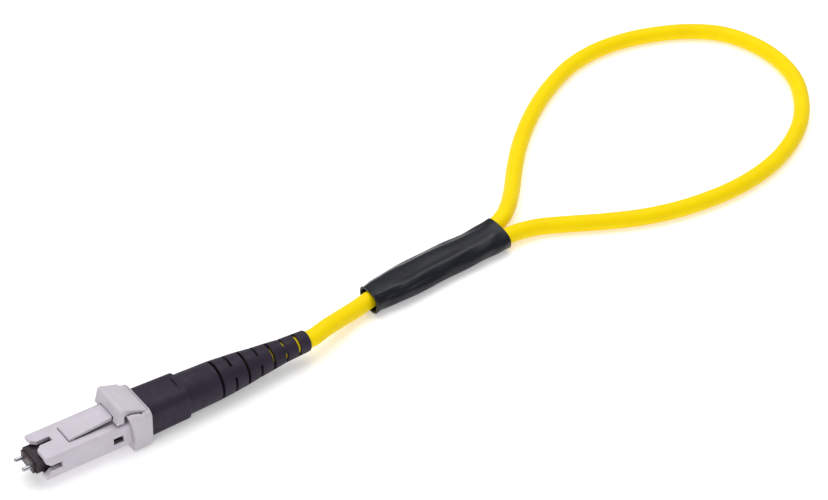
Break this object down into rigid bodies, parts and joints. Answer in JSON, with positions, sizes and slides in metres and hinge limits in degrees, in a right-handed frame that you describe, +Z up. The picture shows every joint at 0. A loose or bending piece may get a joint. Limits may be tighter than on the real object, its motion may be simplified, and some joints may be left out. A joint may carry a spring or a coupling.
{
  "type": "fibre loopback plug",
  "caption": "Small pinned fibre test plug with a press-down latch and a slotted boot; its yellow cable loops back into a black heat-shrink sleeve.",
  "frame": {"origin": "under the middle of the plug (pin tips to boot end), on the surface that it lies on", "axes": "+X back along the plug from its mating end to its cable, +Z up, latch on top; the cable loop lies to the rear and to +Y"},
  "size_m": [0.1797, 0.0519, 0.0089],
  "materials": {
    "housing_plastic": "fine satin moulded plastic, light warm grey",
    "collar_plastic": "fine satin moulded plastic, light warm grey",
    "ferrule_resin": "filled resin, dark brown-black, ground end face",
    "pin_steel": "ground stainless steel",
    "spring_steel": "drawn spring wire",
    "keeper_metal": "stamped plate",
    "dark_rubber": "matt black moulded elastomer with a faint violet cast",
    "glass_fibre": "clear",
    "holder_plastic": "satin moulded plastic",
    "crimp_metal": "nickel-plated crimped tube",
    "yarn": "packed strands",
    "cable_jacket": "satin extruded jacket, bright yellow",
    "shrink_tube": "glossy black shrunk tube with soft ridges"
  },
  "bodies": {
    "plug": {"front_housing": "housing_plastic", "rear_collar": "collar_plastic", "ferrule_spring": "spring_steel", "spring_push": "holder_plastic", "crimp_sleeve": "crimp_metal", "aramid_yarn": "yarn", "strain_relief_boot": "dark_rubber", "stem_cable": "cable_jacket", "loop_cable": "cable_jacket", "heat_shrink_sleeve": "shrink_tube"},
    "ferrule_group": {"ferrule": "ferrule_resin", "guide_pin_left": "pin_steel", "guide_pin_right": "pin_steel", "pin_keeper": "keeper_metal", "ferrule_boot": "dark_rubber", "fibre_ends": "glass_fibre"},
    "latch": {"latch_arm": "housing_plastic"},
    "trigger": {"trigger": "collar_plastic"}
  },
  "joints": [
    {"name": "ferrule_float", "type": "slide", "parent": "plug", "child": "ferrule_group", "axis": [1, 0, 0], "range_m": [0, 0.0006], "stiffness_N_per_m": 1000, "deforming": ["ferrule_spring"]},
    {"name": "trigger_press", "type": "hinge", "parent": "plug", "child": "trigger", "pos_m": [-0.00758, 0, 0.0065], "axis": [0, -1, 0], "range_deg": [0, 6], "stiffness_Nm_per_rad": 0.02},
    {"name": "latch_flex", "type": "hinge", "parent": "plug", "child": "latch", "pos_m": [-0.01928, 0, 0.00593], "axis": [0, 1, 0], "range_deg": [0, 3], "stiffness_Nm_per_rad": 0.01}
  ],
  "couplings": [
    {"joint": "latch_flex", "follows": "trigger_press", "ratio": 0.5}
  ]
}
